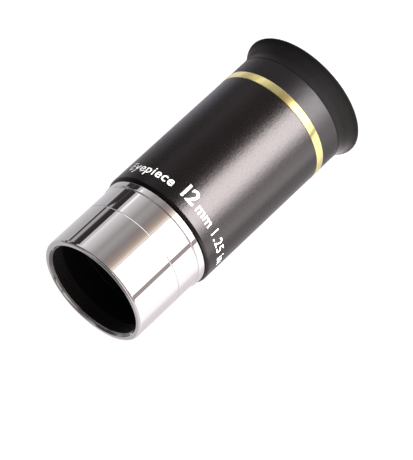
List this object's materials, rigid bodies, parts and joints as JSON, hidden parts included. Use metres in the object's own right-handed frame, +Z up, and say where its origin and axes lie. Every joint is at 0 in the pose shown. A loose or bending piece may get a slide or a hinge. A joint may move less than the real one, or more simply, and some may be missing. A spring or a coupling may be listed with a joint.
{
  "type": "telescope eyepiece",
  "caption": "Wide-field telescope eyepiece: chromed push-fit barrel with a filter thread, black housing, gilt band and fold-down rubber eyecup.",
  "frame": {"origin": "on the optical axis, at the front shoulder of the barrel's collar, where a focuser stops", "axes": "+Y along the optical axis towards the eye, +Z up with the eyepiece lying on its side, +X to the right seen from the barrel's mouth"},
  "size_m": [0.0376, 0.0823, 0.0376],
  "materials": {
    "chrome": "polished chrome plate on brass",
    "black_anodised": "satin black anodising with a fine grain",
    "blasted_black": "fine blasted black anodising, duller than the housing's",
    "blackened_metal": "matt black anodising",
    "gilt": "fine turned, pale gold",
    "rubber": "matt black moulded rubber",
    "white_enamel": "white enamel filled into the lettering",
    "coated_glass": "polished, with a green anti-reflection coating"
  },
  "bodies": {
    "eyepiece": {"barrel_base": "chrome", "light_baffle": "blackened_metal", "housing": "black_anodised", "lens_sleeve": "blackened_metal", "field_stop": "blackened_metal", "lower_lens": "coated_glass", "lower_spacer": "blackened_metal", "flint_lens": "coated_glass", "crown_lens": "coated_glass", "upper_spacer": "blackened_metal", "eye_lens": "coated_glass", "eye_lens_retainer": "blackened_metal", "gilt_band": "gilt", "top_cap": "blasted_black", "eyecup_grip": "rubber", "eyecup_fold": "rubber"},
    "nose_optics": {"nose_cell": "blackened_metal", "nose_concave_lens": "coated_glass", "nose_meniscus_lens": "coated_glass", "nose_retainer": "blackened_metal"},
    "nosepiece": {"nose_tube": "chrome"},
    "eyecup": {"eyecup_rim": "rubber"}
  },
  "joints": [
    {"name": "nosepiece_advance", "type": "slide", "parent": "eyepiece", "child": "nose_optics", "axis": [0, -1, 0], "range_m": [0, 0.0036]},
    {"name": "nosepiece_turn", "type": "hinge", "parent": "nose_optics", "child": "nosepiece", "pos_m": [0, -0.0073, 0], "axis": [0, -1, 0], "range_deg": [0, 2160]},
    {"name": "eyecup_fold_down", "type": "slide", "parent": "eyepiece", "child": "eyecup", "axis": [0, -1, 0], "range_m": [0, 0.0056], "deforming": ["eyecup_fold"]}
  ],
  "couplings": [
    {"joint": "nosepiece_advance", "follows": "nosepiece_turn", "m_per_rad": 0.00009549}
  ]
}
